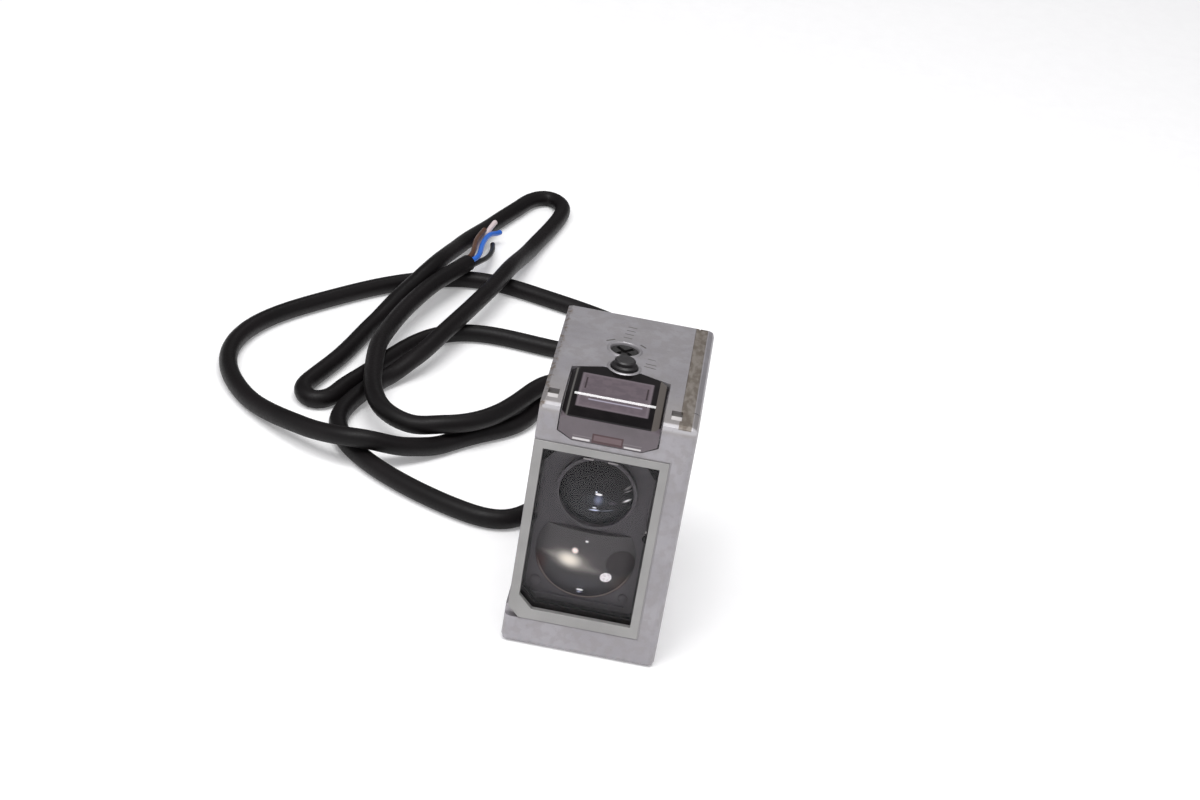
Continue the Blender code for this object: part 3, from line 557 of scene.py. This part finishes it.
def upper_lens_finish():
    """Dark coated glass, with painted reflections and painted highlights that glow faintly."""
    finish = Finish("upper_lens", Roughness=0.12)
    finish.set("Specular IOR Level", 0.15)
    # painted reflections in the glass: a wide haze, a mauve side, a blue middle, a line and streaks
    painted_glow = [
        (finish.spot((-1.4, 39.6), (4.2, 2.7)), (0.05, 0.055, 0.065)),  # faint, wide
        (finish.spot((2.0, 39.3), (1.5, 0.8)), (0.07, 0.06, 0.08)),  # its mauve side
        (finish.spot((-1.2, 39.7), (1.4, 2.0)), (0.22, 0.25, 0.36)),  # blue middle
        (finish.spot((1.0, 37.1), (2.6, 0.3), 14), (0.16, 0.18, 0.22)),  # line under it
        (finish.spot((5.0, 43.5), (1.5, 0.5), 40), (0.22, 0.21, 0.21)),  # streaks at the right
        (finish.spot((5.1, 42.6), (1.3, 0.25), 22), (0.3, 0.29, 0.29)),
        (finish.spot((6.2, 38.3), (0.9, 0.2), 35), (0.2, 0.2, 0.2)),
    ]
    # painted highlights, which also glow through the emission below
    painted_glints = [
        (finish.spot((-1.7, 36.8), (1.6, 0.32), 6, 0.2), (0.5, 0.55, 0.7)),  # lower arc
        (finish.spot((5.2, 40.2), (1.3, 0.42), 25), (0.75, 0.75, 0.75)),  # at the right
        (finish.spot((-1.3, 41.2), (1.0, 0.34), 0, 0.5), (1.0, 1.0, 1.0)),  # over the middle
        (finish.spot((-1.9, 41.7), (0.35, 0.25), 0, 0.3), (0.8, 0.85, 0.95)),
        (finish.spot((-1.8, 37.5), (0.6, 0.22), 0, 0.5), (0.9, 0.95, 1.0)),  # under the middle
    ]
    height = finish.axes()[2]
    # darker towards the top
    shade = finish.mix(finish.spread(height, 34.0, 46.0), (0.022, 0.024, 0.027), (0.014, 0.013, 0.015))
    finish.set("Base Color", finish.layers(shade, painted_glow + painted_glints))
    finish.set("Emission Color", finish.layers((0.0, 0.0, 0.0), painted_glints))
    # the painted highlights glow faintly
    finish.set("Emission Strength", 0.5)
    return finish.made


def lower_lens_finish():
    """Clear glass over a pale receiver, with a dark round well and a white disc in it. Painted reflections
    and painted highlights lie on it, and the highlights and the disc glow faintly.
    """
    finish = Finish("lower_lens", Roughness=0.12)
    finish.set("Specular IOR Level", 0.2)
    outer, inner = 11.5, 11.05  # radii of a painted highlight along the rim
    disc_out = finish.spot(RX_CENTRE, (outer, outer), 0, 0.99)
    disc_in = finish.spot(RX_CENTRE, (inner, inner), 0, 0.985)
    rim = finish.math("SUBTRACT", disc_out, disc_in)
    height = finish.axes()[2]
    rim = finish.math("MULTIPLY", rim, finish.spread(height, 22.0, 18.0))
    # painted reflections in the glass, with a dark well and darker glass below the bright patch
    painted_haze_and_well = [
        (finish.spot((-12.0, 20.4), (2.6, 5.0)), (0.05, 0.022, 0.022)),  # red at the left rim
        (finish.spot((7.4, 18.0), (4.0, 4.5)), (0.045, 0.028, 0.022)),  # and at the right
        (finish.spot((-4.0, 23.6), (9.5, 4.6), -8), (0.13, 0.122, 0.118)),  # light round the bright patch
        (finish.spot((6.3, 24.0), (3.5, 3.6), 0, 0.88), (0.03, 0.024, 0.026)),  # dark well
        (finish.spot((-2.0, 17.0), (7.5, 2.6)), (0.05, 0.05, 0.058)),  # below the patch
        (finish.spot((-8.6, 23.5), (4.6, 1.2), -3), (0.24, 0.23, 0.21)),  # tails of the patch
        (finish.spot((-0.6, 21.6), (4.8, 1.5), -10), (0.22, 0.21, 0.2)),
        (rim, (0.22, 0.18, 0.165)),
    ]
    # painted highlights: the bright patch and the dots are reflections, and they glow through the emission
    # below
    painted_glints = [
        (finish.spot((-5.3, 23.0), (6.0, 3.4), -10), (0.34, 0.325, 0.29)),  # bright patch
        (finish.spot((-5.4, 23.2), (3.6, 2.5), -8, 0.1), (0.8, 0.76, 0.66)),  # its middle
        (finish.spot((-4.4, 25.8), (1.0, 1.0), 0, 0.3), (0.95, 0.84, 0.78)),  # pink dot
        (finish.spot((-2.1, 28.6), (0.45, 0.3), 0, 0.5), (1.0, 1.0, 1.0)),  # top dot
        (finish.spot((-1.9, 15.1), (0.95, 0.36), 0, 0.6), (1.0, 1.0, 1.0)),  # bottom dot
        (finish.spot((-2.0, 14.4), (0.8, 0.5)), (0.3, 0.33, 0.45)),  # its blue edge
    ]
    # a white disc, which also glows through the emission below
    disc = finish.spot((3.5, 19.9), (1.4, 1.4), 0, 0.9)
    speckle = finish.spread(finish.noise(1500, 3), 0.4, 0.6)
    disc_colour = finish.mix(speckle, (0.86, 0.84, 0.84), (0.66, 0.64, 0.65))
    # lighter towards the top
    shade = finish.mix(finish.spread(height, 12.0, 30.0), (0.03, 0.028, 0.032), (0.085, 0.08, 0.082))
    finish.set("Base Color", finish.mix(disc, finish.layers(shade, painted_haze_and_well + painted_glints), disc_colour))
    # the painted highlights and the white disc glow faintly
    glowing = finish.layers((0.0, 0.0, 0.0), painted_glints)
    finish.set("Emission Color", finish.mix(disc, glowing, disc_colour))
    finish.set("Emission Strength", 0.4)
    return finish.made


def smoked_cover_finish():
    """Smoked plastic: the display shows through the top, and a lit window through the skirt."""
    finish = Finish("smoked_cover", Roughness=0.035, IOR=1.5)
    x, y, z = finish.axes()
    cloud = finish.spread(finish.noise(250, 4), 0.35, 0.65)
    shade = finish.mix(cloud, (0.004, 0.003, 0.0035), (0.007, 0.0055, 0.006))
    # top: the display's panel, two dark tabs, a pale line, and side facets painted lighter as painted light
    panel = finish.box(x, y, (-9.9, 6.4), (-23.2, -8.4), 0.25)
    inner = finish.box(x, y, (-9.3, 5.8), (-22.7, -9.1), 0.2)
    left_tab = finish.box(x, y, (-8.9, -8.5), (-16.0, -10.5), 0.12)
    right_tab = finish.box(x, y, (5.1, 5.5), (-16.5, -11.0), 0.12)
    line = finish.box(x, y, (-7.4, 4.8), (-20.5, -20.1), 0.12)
    # painted light: the right side facet and a thin strip at the left are painted lighter
    painted_light_facet = finish.band(x, COVER_FACET_X[1], COVER_X[1] - 0.45, 0.08)
    thin = finish.band(x, -11.6, -11.2, 0.15)
    cells = finish.spread(finish.noise(500, 3), 0.4, 0.62)
    mauve = finish.mix(cells, (0.105, 0.085, 0.098), (0.125, 0.1, 0.114))
    tops = finish.layers(
        shade,
        [
            (painted_light_facet, (0.10, 0.088, 0.08)),
            (thin, (0.10, 0.095, 0.09)),
            (panel, (0.145, 0.12, 0.135)),
            (inner, mauve),
            (finish.math("ADD", left_tab, right_tab), (0.04, 0.03, 0.034)),
            (line, (0.3, 0.28, 0.34)),
        ],
    )
    # skirt: the red indicator light, with a bright slot of painted reflection on each side of it
    tint = finish.spread(finish.noise(180, 3), 0.35, 0.65)
    pane = finish.mix(tint, (0.118, 0.098, 0.11), (0.1, 0.083, 0.093))
    light = finish.box(x, z, (-4.9, 2.1), (55.5, 57.8), 0.08)
    light_middle = finish.box(x, z, (-4.5, 1.7), (56.1, 57.4), 0.08)
    # painted reflections: a bright slot on each side of the light
    left_painted_reflection = finish.box(x, z, (-9.2, -5.3), (55.6, 56.1), 0.1)
    right_painted_reflection = finish.box(x, z, (2.4, 6.2), (55.6, 56.0), 0.1)
    edge = finish.box(x, z, (-9.2, 6.3), (56.5, 56.7), 0.08)
    skirt = finish.layers(
        pane,
        [
            (edge, (0.17, 0.15, 0.16)),
            (finish.math("ADD", left_painted_reflection, right_painted_reflection), (0.6, 0.58, 0.58)),
            (light, (0.06, 0.028, 0.032)),
            (light_middle, (0.13, 0.085, 0.093)),
        ],
    )
    finish.set("Base Color", finish.mix(finish.spread(z, 61.0, 60.85), tops, skirt))
    return finish.made


def dial_finish():
    """Black dial whose left and right quarters are worn to brown."""
    finish = Finish("dial")
    x, y, z = finish.axes()
    side = finish.math("SUBTRACT", finish.math("ABSOLUTE", x), finish.math("ABSOLUTE", y))
    patches = finish.spread(finish.noise(1800, 3), 0.4, 0.6)
    worn = finish.mix(patches, (0.055, 0.043, 0.036), (0.035, 0.028, 0.024))
    finish.set("Base Color", finish.mix(finish.spread(side, 0.3, 0.6), (0.008, 0.007, 0.007), worn))
    finish.set("Roughness", finish.spread(finish.noise(2500, 3), 0.3, 0.7, 0.45, 0.6))
    return finish.made


def make_finishes():
    """Every material, under its own name and under the names that the CAD record gives."""
    made = plain_finishes()
    made["die_cast"] = die_cast_finish()
    made["tinted_window"] = window_finish()
    made["upper_lens"] = upper_lens_finish()
    made["lower_lens"] = lower_lens_finish()
    made["smoked_cover"] = smoked_cover_finish()
    made["dial"] = dial_finish()
    made["steel"] = made["bright_steel"]
    made["lens"] = made["upper_lens"]
    return made


# ---------------------------------------------------------------- front and top pieces
def prism(bm, outline, axis, limits):
    """Add a closed plate: an outline in the two other axes, swept between two limits along one."""
    slot = "xyz".index(axis)
    sides = []
    for limit in limits:
        sides.append([bm.verts.new(mm(*point[:slot], limit, *point[slot:])) for point in outline])
    for side in sides:
        bm.faces.new(side)
    for k in range(len(outline)):
        after = (k + 1) % len(outline)
        bm.faces.new((sides[0][k], sides[0][after], sides[1][after], sides[1][k]))


def block(bm, x, y, z):
    """Add a closed box between the given limits."""
    prism(bm, [(x[0], y[0]), (x[1], y[0]), (x[1], y[1]), (x[0], y[1])], "z", z)


def lens_dome(name, node, centre, radius, dome, finish, top=None):
    """A lens with a smooth dome towards -Y, cut flat at the top if asked. It stands for a CAD node."""
    radius += LENS_REACH
    curve = (radius**2 + dome**2) / (2 * dome)
    rings = 24
    profile = [(0, LENS_BACK_Y), (radius, LENS_BACK_Y), (radius, LENS_FRONT_Y)]
    for k in range(rings - 1, -1, -1):
        r = radius * k / rings
        profile.append((r, LENS_FRONT_Y - dome + curve - math.sqrt(curve**2 - r**2)))
    bm = bmesh.new()
    turned(bm, profile, (centre[0], 0, centre[1]), "y", 96)
    if top:
        everything = bm.verts[:] + bm.edges[:] + bm.faces[:]
        made = bmesh.ops.bisect_plane(
            bm, geom=everything, plane_co=mm(0, 0, top + LENS_REACH), plane_no=(0, 0, 1), clear_outer=True
        )
        rim = [e for e in made["geom_cut"] if isinstance(e, bmesh.types.BMEdge)]
        bmesh.ops.edgeloop_fill(bm, edges=rim)
    lens = piece(name, bm, finish)
    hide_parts(node)


def make_window_details(finishes):
    """What shows at the edge of the window, in front of the lens plate."""
    bm = bmesh.new()
    left, right, top = -15.2, 11.1, 51.5
    # dark gussets in the upper corners, and a half round tab at each side
    for x, way, wide, deep in ((left, 1, 3.5, 3.8), (right, -1, 3.6, 3.9)):
        inward = ((0, 0), (wide, 0), (2.6, 1.2), (0.8, 3.6), (0, deep))
        prism(bm, [(x + way * across, top - down) for across, down in inward], "y", EDGE_Y)
    turns = [math.radians(-90 + 15 * k) for k in range(13)]
    for x, z, way in ((left - 0.1, 33.0, 1), (right + 0.1, 32.4, -1)):
        prism(bm, [(x + way * 1.15 * math.cos(t), z + 1.1 * math.sin(t)) for t in turns], "y", EDGE_Y)
    piece("window_gussets", bm, finishes["black_paint"], smooth=False)
    # bright ends of the clips that hold the upper lens, and one at the right
    bm = bmesh.new()
    for x, z in (
        ((-6.1, -3.8), (49.75, 50.05)),
        ((-0.5, 1.8), (49.75, 50.05)),
        ((10.45, 10.8), (33.9, 34.3)),
    ):
        block(bm, x, EDGE_Y, z)
    piece("window_clips", bm, finishes["pale_plastic"], smooth=False)
    # a raised corner line and two studs on the lens plate
    bm = bmesh.new()
    block(bm, (-13.2, 8.8), PLATE_Y, (12.0, 12.25))
    block(bm, (-13.2, -12.9), PLATE_Y, (12.25, 13.8))
    turned(bm, [(1.1, -21.7), (1.1, -22.0), (0.8, -22.2), (0, -22.25)], (8.2, 0, 14.3), "y", 24)
    turned(bm, [(1.3, -21.7), (1.3, -22.0), (0.9, -22.3), (0, -22.35)], (-12.4, 0, 15.0), "y", 24)
    piece("plate_details", bm, finishes["dark_plastic"])


def cover_rear(x):
    """Rear edge of the display cover at x: a blunt point with the button's round notch."""
    left, right = COVER_X
    blunt_left, blunt_right = COVER_REAR_X
    if x < blunt_left:
        rear = COVER_REAR_Y - COVER_REAR_FALL * (blunt_left - x) / (blunt_left - left)
    else:
        rear = COVER_REAR_Y - COVER_REAR_FALL * max(0.0, (x - blunt_right) / (right - blunt_right))
    across = x - BUTTON_XY[0]
    if abs(across) < NOTCH_R:
        rear = min(rear, BUTTON_XY[1] - math.sqrt(NOTCH_R**2 - across**2))
    return rear


def make_display_cover(finishes):
    """Cover with a flat top, side facets, a rounded crease, a sloped front and a skirt."""
    left, right = COVER_X
    notch = [BUTTON_XY[0] + 0.4 * k for k in range(-10, 11)]
    corners = [left + COVER_CORNER, right - COVER_CORNER]
    # just past the right end of the blunt point, clear of a station of the notch
    ends = [COVER_REAR_X[0], COVER_REAR_X[1] + 0.01]
    half = COVER_CREASE_HALF
    bm = bmesh.new()
    loops = []
    for x in sorted({left, right, *COVER_FACET_X, *corners, *ends, *notch}):
        drop = COVER_FACET_DROP if x in COVER_X else 0.0
        edge = min(x - left, right - x)
        skirt = SKIRT_Z + SKIRT_CUT * max(0.0, 1 - edge / COVER_CORNER)
        section = [(COVER_FRONT_Y, skirt), (COVER_FRONT_Y, 60.8 - drop)]
        section.append((COVER_FRONT_Y + 0.35, 61.2 - drop))
        for k in range(9):
            back = -half + 2 * half * k / 8  # from in front of the crease to behind it
            height = TOP_Z - COVER_SLOPE * (half - back) ** 2 / (4 * half)
            section.append((COVER_CREASE_Y + back, height - drop))
        rear = cover_rear(x)
        section += [(rear, TOP_Z - drop), (rear, COVER_UNDER_Z), (COVER_CREASE_Y, COVER_UNDER_Z)]
        section += [(COVER_FRONT_Y + 2.0, 59.6), (COVER_FRONT_Y + 1.6, 59.1), (COVER_FRONT_Y + 1.6, skirt)]
        loops.append([bm.verts.new(mm(x, y, z)) for y, z in section])
    for one, two in zip(loops, loops[1:]):
        for k in range(len(one)):
            after = (k + 1) % len(one)
            bm.faces.new((one[k], one[after], two[after], two[k]))
    bm.faces.new(loops[0])
    bm.faces.new(loops[-1])
    cover = piece("smoked_display_cover", bm, finishes["smoked_cover"], angle=8)
    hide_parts("display_cover")


def make_rims(finishes):
    """Rounded lips round the button and the dial, in place of the plain rings."""
    for name, node, (x, y), inner, high in (
        ("button_lip", "button_ring", BUTTON_XY, 3.25, 63.25),
        ("dial_lip", "dial_bezel", DIAL_XY, 3.4, 63.3),
    ):
        bm = bmesh.new()
        outer = inner + 0.85
        profile = [(inner, 62.0), (inner, high - 0.2), (inner + 0.12, high - 0.05), (inner + 0.3, high)]
        profile += [(inner + 0.5, high - 0.06), (inner + 0.7, high - 0.2), (outer, 62.9), (outer, 62.7)]
        turned(bm, profile, (x, y, 0), "z", 96)
        lip = piece(name, bm, finishes["rim_metal"], angle=60)
        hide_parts(node)


def make_seams(finishes):
    """Worn strip over the joint on the top, and the sealing bead round the bezel."""
    bm = bmesh.new()
    block(bm, (13.56, 16.24), (-18.15, 25.7), (62.72, 62.8))
    piece("joint_strip", bm, finishes["die_cast"], smooth=False)
    bm = bmesh.new()
    left, right, low, high = -17.28, 13.38, 7.02, 53.98
    for x, z in (
        ((left, right), (53.72, high)),
        ((13.12, right), (low, 53.7)),
        ((left + 3.0, 13.1), (low, 7.28)),
    ):
        block(bm, x, (-26.62, -25.6), z)
    piece("bezel_bead", bm, finishes["rim_metal"], smooth=False)


def make_top_marks(finishes):
    """Plain marks beside the button and the dial; in the two front pockets, a pale ramp as a painted
    highlight and a dark floor as painted shade.
    """
    bm = bmesh.new()
    for start, end, width in (
        ((-6.7, 10.0), (-4.8, 11.6), 0.5),
        ((1.3, 11.1), (2.7, 9.8), 0.5),
        ((3.6, 4.4), (5.6, 4.1), 0.2),
        ((3.4, 1.8), (5.9, 1.5), 0.3),
        ((3.2, 0.2), (5.9, -0.2), 0.3),
        ((-3.0, 13.6), (-0.9, 13.4), 0.3),
        ((-2.8, 15.6), (-0.7, 15.4), 0.3),
        ((-2.6, 17.6), (-0.5, 17.4), 0.3),
        ((-2.4, 19.6), (-0.3, 19.4), 0.3),
    ):
        start, end = Vector(start), Vector(end)
        way = (end - start).normalized() * width / 2
        side = Vector((-way.y, way.x))
        prism(bm, [start + side, start - side, end - side, end + side], "z", (TOP_Z - 0.01, TOP_Z + 0.012))
    piece("top_marks", bm, finishes["grey_paint"], smooth=False)
    # pale ramps at the front of each pocket, standing for a painted highlight
    bm = bmesh.new()
    highlight_ramp = [(-23.35, 62.05), (-21.3, 62.05), (-21.3, 62.85), (-23.35, 62.3)]
    for left in POCKET_X:
        prism(bm, highlight_ramp, "x", (left, left + POCKET_WIDE))
    piece("pocket_highlight_ramps", bm, finishes["pale_plastic"], smooth=False)
    # dark floors at the back of each pocket, standing for painted shade
    bm = bmesh.new()
    for left in POCKET_X:
        block(bm, (left, left + POCKET_WIDE), (-21.25, -18.95), (62.05, 62.15))
    piece("pocket_shade_floors", bm, finishes["grey_paint"], smooth=False)


def main():
    bpy.context.scene.view_settings.view_transform = "Standard"
    make_camera()
    finishes = make_finishes()
    make_cable(finishes)
    finish_nodes(finishes)
    upper, lower = finishes["upper_lens"], finishes["lower_lens"]
    lens_dome("transmitter_lens_glass", "transmitter_lens", TX_CENTRE, TX_R, TX_DOME, upper)
    lens_dome("receiver_lens_glass", "receiver_lens", RX_CENTRE, RX_R, RX_DOME, lower, RX_TOP)
    make_window_details(finishes)
    make_display_cover(finishes)
    make_rims(finishes)
    make_top_marks(finishes)
    make_seams(finishes)
    make_floor()
    make_light()
    bpy.context.view_layer.update()


main()
